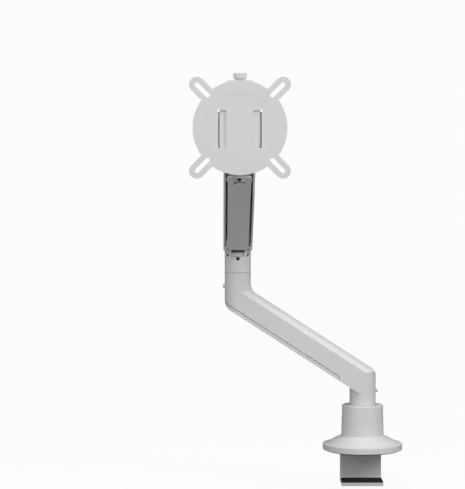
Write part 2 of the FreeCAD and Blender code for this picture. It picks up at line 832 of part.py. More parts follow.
def make_elbow_knuckle():
    post = rod(knuckle_radius, vec(0, 0, knuckle_bottom), vec(0, 0, knuckle_top))
    post = rounded(post, knuckle_round, lambda edge: edge.BoundBox.ZMin > knuckle_top - 0.1)
    near = lift_pivot_y + cheek_half_depth
    far = lift_pivot_y - cheek_half_depth
    top = lift_pivot_z + cheek_top_radius
    cheeks = cheek_pair([
        (near, knuckle_top - 4, 0),
        (near, top, cheek_top_radius),
        (far, top, cheek_top_radius),
        (far, knuckle_top - 4, 0),
    ])
    chin = far + knuckle_wall_thickness
    reach = cheek_inner + 0.5
    root = knuckle_top - 4
    width = link_half_width + passing_gap
    walls = [
        block((-reach, chin, root), (reach, chin + knuckle_wall_thickness, knuckle_top + chin_rise)),
        block((-reach, near - knuckle_wall_thickness, root), (reach, near, knuckle_top + back_wall_rise)),
        block((-width, near - knuckle_wall_thickness, root), (width, near, knuckle_top + low_wall_rise)),
    ]
    body = merged(post, cheeks + walls + knuckle_shoulders())
    out = vec(cheek_outer + 1, 0, 0)
    pivot = vec(0, lift_pivot_y, lift_pivot_z)
    link = pivot - vec(0, 0, link_drop)
    anchor = pivot - vec(0, 0, anchor_drop)
    screw = vec(0, 0, knuckle_screw_height)
    holes = [
        rod(pivot_pin_radius + running_play, pivot - out, pivot + out),
        rod(link_pin_radius + press_play, link - out, link + out),
        rod(anchor_pin_radius + press_play, anchor - out, anchor + out),
        rod(elbow_spigot_radius + press_play, vec(0, 0, knuckle_bottom), vec(0, 0, knuckle_bottom + 12)),
        rod(knuckle_recess_radius, screw - vec(0, knuckle_radius - knuckle_recess_depth, 0),
            screw - vec(0, 2 * knuckle_radius, 0)),
        rod(knuckle_screw_radius + press_play, screw - vec(0, knuckle_radius - 8, 0),
            screw - vec(0, knuckle_radius, 0)),
    ]
    return moved(without(body, holes), elbow_axis)


def make_knuckle_screw():
    face = elbow_axis + vec(0, knuckle_recess_depth - knuckle_radius, knuckle_screw_height)
    body = rod(knuckle_screw_radius, face + vec(0, 6, 0), face)
    head = rod(knuckle_recess_radius - passing_gap, face, face - vec(0, 1.2, 0))
    return body.fuse(head.cut(socket(1.1, 1.0, face - vec(0, 1.2, 0), vec(0, 1, 0)))).removeSplitter()


def link_pins(pivot):
    inner = vec(cheek_inner + 0.1, 0, 0)
    neck = vec(link_half_width + running_play, 0, 0)
    end = neck + vec(link_pin_head, 0, 0)
    pin = rod(link_pin_radius, inner, neck).fuse(rod(link_pin_head_radius, neck, end)).removeSplitter()
    return moved(Part.makeCompound(both_sides(pin)), pivot)


def make_anchor():
    centre = lift_pivot - vec(0, 0, anchor_drop)
    half = vec(anchor_roller_half, 0, 0)
    out = vec(cheek_outer, 0, 0)
    roller = tube(anchor_roller_radius, anchor_pin_radius + press_play, centre - half, centre + half)
    return roller, rod(anchor_pin_radius, centre - out, centre + out)


# ---- upper arm, made level with its pivot at the origin and its far end towards -Y ----
def casing_outline():
    far = -upper_reach
    back = casing_end_radius
    return [
        (back, casing_rise, casing_rise - 1),
        (back, -casing_end_drop, casing_end_radius - 0.5),
        (-casing_taper_start, -casing_end_drop, 10.0),
        (-casing_taper_end, -casing_drop, 10.0),
        (far + casing_taper_end, -casing_drop, 10.0),
        (far + casing_taper_start, -casing_head_drop, 10.0),
        (far - casing_head_drop, -casing_head_drop, casing_head_drop - 0.5),
        (far - casing_head_drop, casing_rise, casing_rise - 1),
    ]


def make_casing():
    body = side_slab(casing_outline(), casing_half_width)
    face = casing_half_width - 0.01
    body = rounded(body, casing_edge_round,
                   lambda edge: abs(edge.BoundBox.XMin) > face and abs(edge.BoundBox.XMax) > face
                   and edge.BoundBox.ZMin > -1 and edge.BoundBox.XLength < 0.01)
    far = -upper_reach - 2 * casing_head_drop
    roof = casing_rise - casing_wall
    inside = side_slab([
        (casing_end_radius - casing_wall, roof, roof),
        (casing_end_radius - casing_wall, -2 * casing_drop, 0),
        (far, -2 * casing_drop, 0),
        (far, roof, 0),
    ], wall_inner)
    side = link_half_width + passing_gap
    rear_opening = block((-side, -casing_taper_start, -2 * casing_drop), (side, 2 * casing_end_radius, 0))
    side_opening = block((side, 0, -2 * casing_drop), (wall_inner, 2 * casing_end_radius, 0))
    side_opening.rotate(vec(0, 0, 0), vec(1, 0, 0), -casing_back_opening)
    head_opening = block((-wall_inner, far, 0),
                         (wall_inner, -upper_reach - casing_head_opening, 2 * casing_rise))
    lug = block((-lug_half_width, -spring_anchor - lug_half_length, -lug_bottom),
                (lug_half_width, -spring_anchor + lug_half_length, roof + 0.5))
    body = without(body, [inside, rear_opening, head_opening] + both_sides(side_opening))
    bosses = []
    for y in (0, -upper_reach):
        boss = tube(pivot_boss_radius, pivot_bush_radius + press_play, vec(side, y, 0), vec(wall_inner, y, 0))
        bosses += both_sides(boss)
    body = merged(body, bosses + [lug])
    eye_half = spring_eye_half + passing_gap
    eye_room = block((-eye_half, -spring_anchor - spring_eye_radius - passing_gap, -lug_bottom),
                     (eye_half, -spring_anchor + lug_half_length, 0.5))
    holes = [eye_room]
    out = vec(casing_half_width, 0, 0)
    face = vec(casing_half_width - pivot_cap_depth, 0, 0)
    for y in (0, -upper_reach):
        pivot = vec(0, y, 0)
        holes.append(rod(pivot_pin_radius + press_play, pivot - out, pivot + out))
        holes.append(rod(pivot_cap_radius + press_play, pivot + face, pivot + out))
        holes.append(rod(pivot_cap_radius + press_play, pivot - face, pivot - out))
    pin = vec(0, -spring_anchor, -spring_drop)
    width = vec(lug_half_width, 0, 0)
    holes.append(rod(spring_pin_radius + press_play, pin - width, pin + width))
    return on_arm(without(body, holes), lift_pivot)


def make_pivot_parts():
    pins = []
    bushes = []
    caps = []
    face = vec(casing_half_width - pivot_cap_depth, 0, 0)
    for y in (0, -upper_reach):
        pivot = vec(0, y, 0)
        pins.append(rod(pivot_pin_radius, pivot - face, pivot + face))
        bush = tube(pivot_bush_radius, pivot_pin_radius + press_play,
                    pivot + vec(bush_ends[0], 0, 0), pivot + vec(bush_ends[1], 0, 0))
        bushes += both_sides(bush)
        caps += both_sides(rod(pivot_cap_radius, pivot + face, pivot + vec(casing_half_width, 0, 0)))
    return [on_arm(Part.makeCompound(group), lift_pivot) for group in (pins, bushes, caps)]


def spring_point(t):
    return vec(0, -t, -spring_drop)


def make_spring_cylinder():
    body = rod(spring_radius, spring_point(spring_start), spring_point(spring_end))
    body = rounded(body, 1.0, lambda edge: True)
    bore = rod(spring_bore, spring_point(spring_start + spring_cap), spring_point(spring_end - spring_cap))
    gland = rod(rod_radius + running_play, spring_point(spring_start), spring_point(spring_start + spring_cap))
    eye = block((-spring_eye_half, -spring_anchor, -spring_drop - spring_eye_radius),
                (spring_eye_half, -spring_end + 1, -spring_drop + spring_eye_radius))
    pin = spring_point(spring_anchor)
    half = vec(spring_eye_half, 0, 0)
    lower_eye = merged(eye, [rod(spring_eye_radius, pin - half, pin + half)])
    body = merged(without(body, [bore, gland]), [lower_eye])
    return on_arm(body.cut(rod(spring_pin_radius + press_play, pin - half, pin + half)), lift_pivot)


def make_spring_pin():
    pin = spring_point(spring_anchor)
    half = vec(lug_half_width, 0, 0)
    return on_arm(rod(spring_pin_radius, pin - half, pin + half), lift_pivot)


def make_spring_rod():
    face = anchor_roller_radius + push_pad_gap - anchor_drop * math.sin(math.radians(rest_lift))
    seat = face + push_pad_thickness
    pad = rod(push_pad_radius, spring_point(face), spring_point(seat))
    pad = rounded(pad, 0.6, lambda edge: True)
    piston_end = spring_start + spring_cap + piston_depth
    stem = rod(rod_radius, spring_point(seat), spring_point(piston_end))
    piston = rod(spring_bore - running_play, spring_point(piston_end - piston_length), spring_point(piston_end))
    return on_arm(stem.fuse(piston).removeSplitter(), lift_pivot), on_arm(pad, lift_pivot)


# ---- lower link of the parallelogram, made level with its pivot at the origin ----
def make_lower_link():
    far = -upper_reach
    wall = side_slab([
        (0, link_half_depth, 0),
        (0, -link_nose, 0),
        (-link_cover_start, -link_nose, 0),
        (-link_cover_start, -link_half_depth, 0),
        (far, -link_half_depth, 0),
        (far, link_half_depth, 0),
    ], link_wall / 2, link_half_width - link_wall / 2)
    for y in (0, far):
        inner = vec(link_half_width - link_wall, y, 0)
        eye = rod(link_eye_radius, inner, vec(link_half_width, y, 0))
        if y:
            eye = eye.cut(block((0, 2 * far, -2 * link_half_depth), (2 * link_half_width, 0, -link_half_depth)))
        wall = wall.fuse(eye)
    for y in (0, far):
        inner = vec(link_half_width - link_wall, y, 0)
        wall = wall.cut(rod(link_bush_radius + press_play, inner, vec(link_half_width, y, 0)))
    walls = both_sides(wall)
    floor = block((-link_half_width + 1, far + link_floor_end, -link_half_depth),
                  (link_half_width - 1, -link_cover_start, -link_half_depth + link_floor))
    return on_arm(merged(floor, walls), link_pivot)


def make_link_bushes():
    bushes = []
    for y in (0, -upper_reach):
        bush = tube(link_bush_radius, link_pin_radius + running_play,
                    vec(link_half_width - link_wall, y, 0), vec(link_half_width, y, 0))
        bushes += both_sides(bush)
    return on_arm(Part.makeCompound(bushes), link_pivot)


def make_upper_cable_cover():
    end = -upper_reach - link_cover_end
    top = -link_half_depth
    side = top - link_cover + link_cover_crown
    bottom = top - link_cover
    crown = link_half_width - 3.2
    edges = [
        (vec(-link_half_width, 0, top), 0),
        (vec(link_half_width, 0, top), 0),
        (vec(link_half_width, 0, side), 0.6),
        (vec(crown, 0, bottom), 6.0),
        (vec(-crown, 0, bottom), 6.0),
        (vec(-link_half_width, 0, side), 0.6),
    ]
    body = rounded_face(edges).extrude(vec(0, end, 0))
    plan = rounded_face([
        (vec(-link_half_width, -link_cover_start, 0), link_cover_corner),
        (vec(link_half_width, -link_cover_start, 0), link_cover_corner),
        (vec(link_half_width, end, 0), link_cover_corner),
        (vec(-link_half_width, end, 0), link_cover_corner),
    ])
    body = body.common(plan.extrude(vec(0, 0, -4 * link_half_depth)))
    notch = rounded_face([
        (vec(-notch_half_narrow, -upper_reach - notch_start, 0), 1.0),
        (vec(notch_half_narrow, -upper_reach - notch_start, 0), 1.0),
        (vec(notch_half_wide, -upper_reach - notch_end, 0), 1.0),
        (vec(-notch_half_wide, -upper_reach - notch_end, 0), 1.0),
    ])
    notch = notch.extrude(vec(0, 0, -4 * link_half_depth))
    return on_arm(body.cut(notch), link_pivot)


# ---- head, made with the upper arm's far pivot at the origin ----
def make_head_knuckle():
    cheeks = cheek_pair([
        (head_cheek_radius, head_cheek_radius, head_cheek_radius),
        (head_cheek_radius, -head_cheek_radius, 2.0),
        (head_toe_radius, -link_drop, 0),
        (-head_toe_radius, -link_drop, 0),
        (-bridge_back, bridge_bottom - 4, 2.0),
        (-bridge_back, head_cheek_radius, head_cheek_radius - 1),
    ])
    boss_axis = vec(0, -pan_reach, 0)
    bridge = block((-cheek_outer, -pan_reach, bridge_bottom), (cheek_outer, 1 - bridge_back, bridge_top))
    boss = rod(pan_boss_radius, boss_axis + vec(0, 0, bridge_bottom), boss_axis + vec(0, 0, pan_boss_top))
    boss = rounded(boss, 1.5, lambda edge: True)
    link = vec(0, 0, -link_drop)
    across = vec(cheek_outer, 0, 0)
    screw = link - vec(0, 0, tension_drop)
    bar = rod(head_toe_radius, link - across, link + across)
    nose = rod(tension_boss_radius, screw, screw - vec(0, tension_boss_reach, 0))
    body = merged(bridge, cheeks + [boss, bar, nose])
    out = vec(cheek_outer + 1, 0, 0)
    inner = vec(cheek_inner, 0, 0)
    holes = [
        rod(pivot_pin_radius + running_play, -out, out),
        rod(link_pin_radius + press_play, link + inner, link + out),
        rod(link_pin_radius + press_play, link - inner, link - out),
        rod(pan_shaft_radius + pan_bush_wall + press_play, boss_axis - vec(0, 0, 2 * pan_boss_radius),
            boss_axis + vec(0, 0, 2 * pan_boss_radius)),
        rod(tension_screw_radius + running_play, screw, screw - vec(0, tension_boss_reach, 0)),
    ]
    return moved(without(body, holes), head_pivot)


def make_tension_screw():
    screw = head_pivot - vec(0, 0, link_drop + tension_drop)
    face = screw - vec(0, tension_boss_reach + running_play, 0)
    front = screw - vec(0, tension_head_reach, 0)
    head = rod(tension_head_radius, face, front).cut(socket(1.3, 1.6, front, vec(0, 1, 0)))
    return head.fuse(rod(tension_screw_radius, screw - vec(0, 0.3, 0), face)).removeSplitter()


def make_pan_bush():
    inner = pan_shaft_radius + running_play
    outer = pan_shaft_radius + pan_bush_wall
    low = head_pivot.z + bridge_bottom
    high = head_pivot.z + pan_boss_top
    return moved(make_bush(inner, outer, low, high, pan_flange_radius, pan_flange), pan_axis)


# ---- pan yoke and tilt ----
def make_pan_yoke():
    foot = head_pivot.z + pan_boss_top + pan_flange + running_play
    low = head_pivot.z + bridge_bottom
    shaft = rod(pan_shaft_radius, vec(0, 0, low), vec(0, 0, foot + 2))
    plate = rod(pan_boss_radius, vec(0, 0, foot), vec(0, 0, foot + 4))
    base = block((-yoke_ear_outer, -yoke_half_depth, foot + 3),
                 (yoke_ear_outer, yoke_half_depth, foot + yoke_foot))
    base = rounded(base, 3.0, lambda edge: edge.BoundBox.ZLength > 1)
    body = merged(plate, [shaft, base])
    ear = side_slab([
        (yoke_half_depth, foot + yoke_foot - 1, 0),
        (yoke_ear_radius, tilt_height, 0),
        (yoke_ear_radius, tilt_height + yoke_ear_radius, yoke_ear_radius - 0.1),
        (-yoke_ear_radius, tilt_height + yoke_ear_radius, yoke_ear_radius - 0.1),
        (-yoke_ear_radius, tilt_height, 0),
        (-yoke_half_depth, foot + yoke_foot - 1, 0),
    ], (yoke_ear_outer - yoke_ear_inner) / 2, (yoke_ear_outer + yoke_ear_inner) / 2)
    body = merged(body, both_sides(ear))
    centre = vec(0, 0, tilt_height)
    out = vec(yoke_ear_outer, 0, 0)
    thread = rod(retainer_screw_radius + press_play, vec(0, 0, low), vec(0, 0, low + 12))
    body = without(body, [rod(tilt_bolt_radius + press_play, centre - out, centre + out), thread])
    return moved(body, pan_axis)


def make_pan_retainer():
    face = pan_axis + vec(0, 0, head_pivot.z + bridge_bottom - running_play)
    low = face - vec(0, 0, pan_washer_thickness)
    washer = rod(pan_washer_radius, low, face)
    hole = countersunk(small_head_radius + press_play, retainer_screw_radius + press_play, low,
                       vec(0, 0, 1), pan_washer_thickness)
    screw = countersunk(small_head_radius, retainer_screw_radius, low, vec(0, 0, 1),
                        pan_washer_thickness + 11)
    return washer.cut(hole), screw.cut(socket(1.7, 1.4, low, vec(0, 0, 1)))


def make_tilt_fasteners():
    face = vec(yoke_ear_outer, 0, 0)
    end = face + vec(tilt_head, 0, 0)
    head = rounded(rod(tilt_head_radius, face, end), 0.8, lambda edge: edge.BoundBox.XMin > end.x - 0.1)
    head = head.cut(socket(2.6, 2.2, end, vec(-1, 0, 0)))
    bolt = head.fuse(rod(tilt_bolt_radius, -end, face)).removeSplitter()
    nut = socket(tilt_nut_across / math.sqrt(3), tilt_head - 0.5, -face, vec(-1, 0, 0))
    nut = nut.cut(rod(tilt_bolt_radius + press_play, -face, -end))
    return moved(bolt, tilt_centre), moved(nut, tilt_centre)


def make_tilt_washers():
    inner = vec(yoke_ear_inner - tilt_washer, 0, 0)
    outer = vec(yoke_ear_inner - running_play, 0, 0)
    washer = tube(tilt_washer_radius, tilt_bolt_radius + running_play, inner, outer)
    return moved(Part.makeCompound(both_sides(washer)), tilt_centre)


def make_tilt_block():
    half = vec(yoke_ear_inner - tilt_washer - press_play, 0, 0)
    barrel = rod(tilt_block_radius, -half, half)
    shoulder_back = vec(0, -receiver_back + turn_flange + running_play + turn_shoulder, 0)
    shoulder_front = shoulder_back - vec(0, turn_shoulder, 0)
    shaft_end = vec(0, shaft_face, 0)
    stem = rod(tilt_block_radius - 0.5, vec(0, 0, 0), shoulder_back)
    shoulder = rod(turn_shoulder_radius, shoulder_back, shoulder_front)
    shaft = rod(turn_shaft_radius, shoulder_front, shaft_end)
    body = merged(barrel, [stem, shoulder, shaft])
    bolt = rod(tilt_bolt_radius + running_play, -half * 2, half * 2)
    thread = rod(retainer_screw_radius + press_play, shaft_end, shaft_end + vec(0, 12, 0))
    return moved(without(body, [bolt, thread]), tilt_centre)


def make_turn_retainer():
    face = tilt_centre + vec(0, shaft_face, 0)
    front = face - vec(0, turn_washer, 0)
    inward = vec(0, 1, 0)
    washer = rod(turn_washer_radius, front, face)
    hole = countersunk(small_head_radius + press_play, retainer_screw_radius + press_play, front,
                       inward, turn_washer)
    screw = countersunk(small_head_radius, retainer_screw_radius, front, inward, turn_washer + 11)
    return washer.cut(hole), screw.cut(socket(1.7, 1.3, front, inward))


# ---- receiver, screen plate and lock knob, made with the centre of rotation at the origin ----
def front_slab(corners, back, front):
    # an outline of (x, z, radius) corners between two depths along Y
    points = [(vec(x, back, z), radius) for x, z, radius in corners]
    return rounded_face(points).extrude(vec(0, front - back, 0))


def framed(half):
    return [
        (half, window_top, receiver_corner),
        (half, window_bottom, receiver_corner),
        (-half, window_bottom, receiver_corner),
        (-half, window_top, receiver_corner),
    ]


def make_receiver():
    flange_front = receiver_front + tab_depth + passing_gap
    body = front_slab(framed(receiver_half_width), -receiver_back, receiver_front)
    flange = front_slab(framed(receiver_flange_half), -receiver_back, flange_front)
    neck_top = top_flange_height - plate_thickness - press_play
    neck = front_slab([
        (receiver_neck_half, neck_top, 1.0),
        (receiver_neck_half, window_top - 4, 0),
        (-receiver_neck_half, window_top - 4, 0),
        (-receiver_neck_half, neck_top, 1.0),
    ], receiver_front + receiver_neck_depth, receiver_front)
    body = merged(body, [flange, neck])
    back = vec(0, -receiver_back, 0)
    seat = vec(0, shaft_face + running_play, 0)
    front = vec(0, receiver_front, 0)
    stud = vec(0, receiver_front + knob_set_back, neck_top)
    relief = vec(window_outer, 0, window_top)
    holes = [
        rod(turn_shaft_radius + turn_bush_wall + press_play, back, front),
        rod(turn_washer_radius + passing_gap, seat, front),
        rod(knob_stud_radius + running_play, stud, stud - vec(0, 0, knob_stud_length)),
    ]
    holes += both_sides(rod(relief_radius + passing_gap, relief + front, relief + back))
    return moved(without(body, holes), tilt_centre)


def make_turn_bush():
    back = vec(0, -receiver_back, 0)
    front = vec(0, shaft_face + running_play, 0)
    flange_back = back + vec(0, turn_flange, 0)
    inner = turn_shaft_radius + running_play
    body = tube(turn_shaft_radius + turn_bush_wall, inner, back, front)
    flange = tube(turn_shoulder_radius, inner, flange_back, back)
    return moved(body.fuse(flange).removeSplitter(), tilt_centre)


def lug_slab(angle, half, reach, start, back, front):
    # a bar with a round end, pointing out from the centre at an angle
    along = vec(math.cos(math.radians(angle)), 0, math.sin(math.radians(angle)))
    across = vec(-along.z, 0, along.x)
    depth = vec(0, front - back, 0)
    first = along * start + vec(0, back, 0)
    last = along * reach + vec(0, back, 0)
    corners = [first + across * half, last + across * half, last - across * half, first - across * half]
    bar = Part.Face(Part.makePolygon(corners + corners[:1])).extrude(depth)
    return bar.fuse(rod(half, last, last + depth))


def make_screen_plate():
    ring_back = plate_face + plate_thickness
    depth = (ring_back, plate_face)
    ends = [pattern_small / 2 * math.sqrt(2), pattern_large / 2 * math.sqrt(2)]
    lugs = [lug_slab(45 + 90 * i, lug_half, ends[1], 0, *depth) for i in range(4)]
    disc = merged(rod(plate_radius, vec(0, ring_back, 0), vec(0, plate_face, 0)), lugs)
    flange_half = top_flange_half
    top = top_flange_height
    tongue = block((-flange_half, plate_face, 0), (flange_half, ring_back, top))
    flange = block((-flange_half, plate_face, top - plate_thickness),
                   (flange_half, plate_face + top_flange_depth, top))
    disc = merged(disc, [tongue, flange])
    wide = dish_radius + dish_slope
    pan_out = Part.makeCone(wide, dish_radius, dish_depth, vec(0, ring_back, 0), vec(0, 1, 0))
    pan_in = Part.makeCone(wide, dish_radius, dish_depth, vec(0, plate_face, 0), vec(0, 1, 0))
    disc = merged(disc, [pan_out]).cut(pan_in)
    holes = []
    for i in range(4):
        outer = lug_slab(45 + 90 * i, slot_half_width, ends[1], ends[0], *depth)
        turn = math.radians(45 + 90 * i)
        inner = vec(math.cos(turn), 0, math.sin(turn)) * ends[0]
        holes.append(outer)
        holes.append(rod(slot_half_width, inner + vec(0, ring_back, 0), inner + vec(0, plate_face, 0)))
    window = block((window_inner, plate_face, window_bottom), (window_outer, plate_back, window_top))
    corner = vec(window_outer, 0, window_top)
    relief = rod(relief_radius, corner + vec(0, plate_back, 0), corner + vec(0, plate_face, 0))
    holes += both_sides(window) + both_sides(relief)
    stud = vec(0, receiver_front + knob_set_back, 0)
    holes.append(rod(knob_stud_radius + passing_gap, stud + vec(0, 0, top - 2 * plate_thickness),
                     stud + vec(0, 0, top)))
    disc = without(disc, holes)
    tab = block((window_outer, plate_back - plate_thickness, window_bottom + 1),
                (window_outer + tab_thickness, plate_back + tab_depth, window_top - 2 * relief_radius))
    return moved(merged(disc, both_sides(tab)), tilt_centre)


def make_lock_knob():
    seat = vec(0, receiver_front + knob_set_back, top_flange_height + running_play)
    shoulder = seat + vec(0, 0, knob_base_height)
    top = shoulder + vec(0, 0, knob_height)
    head = rounded(rod(knob_radius, shoulder, top), 0.8, lambda edge: True)
    flutes = []
    for i in range(knob_flutes):
        turn = 2 * math.pi * i / knob_flutes
        offset = vec(math.cos(turn), math.sin(turn), 0) * (knob_radius + knob_flute_radius * 0.3)
        flutes.append(rod(knob_flute_radius, shoulder + offset, top + offset))
    head = head.cut(Part.makeCompound(flutes))
    base = rod(knob_base_radius, seat, shoulder)
    stud = rod(knob_stud_radius, seat - vec(0, 0, knob_stud_length - 2), seat)
    return moved(merged(head, [base, stud]), tilt_centre)


# ---- write one file for each piece ----
def all_pieces():
    pieces = {
        "base_housing": make_base_housing(),
        "base_plate": make_base_plate(),
        "base_pad": make_base_pad(),
        "base_screws": make_base_screws(),
        "post_sleeve": make_post_sleeve(),
        "clamp_bracket": make_clamp_bracket(),
        "jaw_pad": make_jaw_pad(),
        "clamp_nut": make_clamp_nut(),
        "clamp_screw": make_clamp_screw(),
        "lower_arm": make_lower_arm(),
        "lower_cable_cover": make_lower_cable_cover(),
        "base_spigot": make_base_spigot(),
        "elbow_spigot": make_elbow_spigot(),
        "elbow_knuckle": make_elbow_knuckle(),
        "knuckle_screw": make_knuckle_screw(),
        "elbow_link_pins": link_pins(link_pivot),
        "upper_arm_casing": make_casing(),
        "gas_spring_cylinder": make_spring_cylinder(),
        "gas_spring_pin": make_spring_pin(),
        "lower_link": make_lower_link(),
        "link_bushes": make_link_bushes(),
        "upper_cable_cover": make_upper_cable_cover(),
        "head_knuckle": make_head_knuckle(),
        "head_link_pins": link_pins(head_pivot - vec(0, 0, link_drop)),
        "tension_screw": make_tension_screw(),
        "pan_bush": make_pan_bush(),
        "pan_yoke": make_pan_yoke(),
        "tilt_washers": make_tilt_washers(),
        "tilt_block": make_tilt_block(),
        "receiver": make_receiver(),
        "turn_bush": make_turn_bush(),
        "screen_plate": make_screen_plate(),
        "lock_knob": make_lock_knob(),
    }
    pieces["base_bush_upper"], pieces["base_bush_lower"] = make_base_bushes()
    pieces["spigot_washer"], pieces["spigot_screw"] = make_spigot_retainer()
    pieces["neck_set_screw"], pieces["elbow_set_screw"] = make_set_screws()
    pieces["elbow_bush_upper"], pieces["elbow_bush_lower"] = make_elbow_bushes()
    pieces["anchor_roller"], pieces["anchor_pin"] = make_anchor()
    pieces["pivot_pins"], pieces["pivot_bushes"], pieces["pivot_caps"] = make_pivot_parts()
    pieces["gas_spring_rod"], pieces["push_pad"] = make_spring_rod()
    pieces["pan_washer"], pieces["pan_screw"] = make_pan_retainer()
    pieces["tilt_bolt"], pieces["tilt_nut"] = make_tilt_fasteners()
    pieces["turn_washer"], pieces["turn_screw"] = make_turn_retainer()
    return pieces


os.makedirs("parts", exist_ok=True)
for name, shape in all_pieces().items():
    shape.exportStep(f"parts/{name}.step")
    print(name, len(shape.Solids), "solids", round(shape.Volume / 1000, 2), "cm3", shape.isValid())
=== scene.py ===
import bpy
import json
import math
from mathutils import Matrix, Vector


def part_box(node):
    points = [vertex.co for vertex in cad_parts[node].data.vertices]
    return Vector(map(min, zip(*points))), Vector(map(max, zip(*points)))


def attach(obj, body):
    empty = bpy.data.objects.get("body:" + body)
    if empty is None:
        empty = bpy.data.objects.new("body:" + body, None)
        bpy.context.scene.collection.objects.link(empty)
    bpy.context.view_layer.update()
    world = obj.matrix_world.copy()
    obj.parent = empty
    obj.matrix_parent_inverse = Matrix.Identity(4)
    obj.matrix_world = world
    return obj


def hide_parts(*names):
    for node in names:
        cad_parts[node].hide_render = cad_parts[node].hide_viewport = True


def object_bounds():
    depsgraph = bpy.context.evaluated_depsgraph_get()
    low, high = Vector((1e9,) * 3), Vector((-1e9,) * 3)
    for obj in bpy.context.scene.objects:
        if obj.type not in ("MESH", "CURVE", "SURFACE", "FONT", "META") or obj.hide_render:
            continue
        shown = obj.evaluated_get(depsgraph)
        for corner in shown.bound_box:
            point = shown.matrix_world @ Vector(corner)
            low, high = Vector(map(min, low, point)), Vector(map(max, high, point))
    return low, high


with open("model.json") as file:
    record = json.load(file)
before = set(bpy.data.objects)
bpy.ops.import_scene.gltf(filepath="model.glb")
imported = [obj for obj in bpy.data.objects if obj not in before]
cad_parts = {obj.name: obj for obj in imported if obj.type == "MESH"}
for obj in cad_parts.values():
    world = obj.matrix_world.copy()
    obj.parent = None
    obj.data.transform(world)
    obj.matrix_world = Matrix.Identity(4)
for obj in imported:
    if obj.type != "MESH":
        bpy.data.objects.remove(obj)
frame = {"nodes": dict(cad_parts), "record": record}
nodes = frame["nodes"]
cadLow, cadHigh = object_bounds()
bpy.ops.object.select_all(action="DESELECT")
print("frame loaded,", len(nodes), "nodes")


# shader groups give out masks, a rounded normal and a height; the grain reads Object coordinates
def newGroup(name, inputs, outputs):
    group = bpy.data.node_groups.new(name, "ShaderNodeTree")
    for kind, label, value in inputs:
        socket = group.interface.new_socket(name=label, in_out="INPUT", socket_type=kind)
        socket.default_value = value
    for kind, label in outputs:
        group.interface.new_socket(name=label, in_out="OUTPUT", socket_type=kind)
    return group, group.nodes.new("NodeGroupInput"), group.nodes.new("NodeGroupOutput")


def addNode(tree, kind, inputs=None, **settings):
    node = tree.nodes.new(kind)
    for key, value in settings.items():
        setattr(node, key, value)
    for key, value in (inputs or {}).items():
        if isinstance(value, bpy.types.NodeSocket):
            tree.links.new(value, node.inputs[key])
        else:
            node.inputs[key].default_value = value
    return node


def addMath(tree, operation, first, second, clamp=False):
    node = addNode(tree, "ShaderNodeMath", {0: first, 1: second}, operation=operation, use_clamp=clamp)
    return node.outputs[0]


# edges: where the surface turns sharply, found by comparing the rounded normal with the true one
def makeEdgeGroup():
    group, given, out = newGroup("softEdge", [
        ("NodeSocketFloat", "Radius", 0.0004),
        ("NodeSocketFloat", "Strength", 4.0),
    ], [("NodeSocketVector", "Normal"), ("NodeSocketFloat", "Edge")])
    rounded = addNode(group, "ShaderNodeBevel", {"Radius": given.outputs["Radius"]}, samples=6)
    true = addNode(group, "ShaderNodeNewGeometry")
    likeness = addNode(group, "ShaderNodeVectorMath", {0: rounded.outputs[0], 1: true.outputs["Normal"]},
                       operation="DOT_PRODUCT")
    turn = addMath(group, "SUBTRACT", 1.0, likeness.outputs["Value"])
    edge = addMath(group, "MULTIPLY", turn, given.outputs["Strength"], clamp=True)
    group.links.new(rounded.outputs[0], out.inputs["Normal"])
    group.links.new(edge, out.inputs["Edge"])
    return group


# grain: a fine height, and a broad slow mottle, at sizes in metres
def makeGrainGroup():
    group, given, out = newGroup("coatGrain", [
        ("NodeSocketFloat", "Grain Size", 0.0006),
        ("NodeSocketFloat", "Mottle Size", 0.03),
        ("NodeSocketFloat", "Detail", 2.0),
    ], [("NodeSocketFloat", "Height"), ("NodeSocketFloat", "Mottle")])
    place = addNode(group, "ShaderNodeTexCoord").outputs["Object"]
    fineScale = addMath(group, "DIVIDE", 1.0, given.outputs["Grain Size"])
    broadScale = addMath(group, "DIVIDE", 1.0, given.outputs["Mottle Size"])
    fine = addNode(group, "ShaderNodeTexNoise", {
        "Vector": place, "Scale": fineScale, "Detail": given.outputs["Detail"], "Roughness": 0.5,
    })
    broad = addNode(group, "ShaderNodeTexNoise", {
        "Vector": place, "Scale": broadScale, "Detail": 3.0, "Roughness": 0.55,
    })
    group.links.new(fine.outputs["Fac"], out.inputs["Height"])
    group.links.new(broad.outputs["Fac"], out.inputs["Mottle"])
    return group


edgeGroup = makeEdgeGroup()
grainGroup = makeGrainGroup()


def groupNode(tree, group, **values):
    node = addNode(tree, "ShaderNodeGroup", node_tree=group)
    for label, value in values.items():
        node.inputs[label].default_value = value
    return node


def mixColour(tree, factor, first, second):
    node = tree.nodes.new("ShaderNodeMix")
    node.data_type = "RGBA"
    for label, value in (("Factor", factor), ("A", first), ("B", second)):
        socket = node.inputs[label]
        if isinstance(value, bpy.types.NodeSocket):
            tree.links.new(value, socket)
        else:
            socket.default_value = value
    return node.outputs["Result"]


def grey(level, warmth=0.0):
    return (level * (1 + warmth), level, level * (1 - warmth), 1.0)


mottleSpan = (0.3, 0.7)  # the mottle values at which roughness reaches its two ends
coatRoughness = 0.3


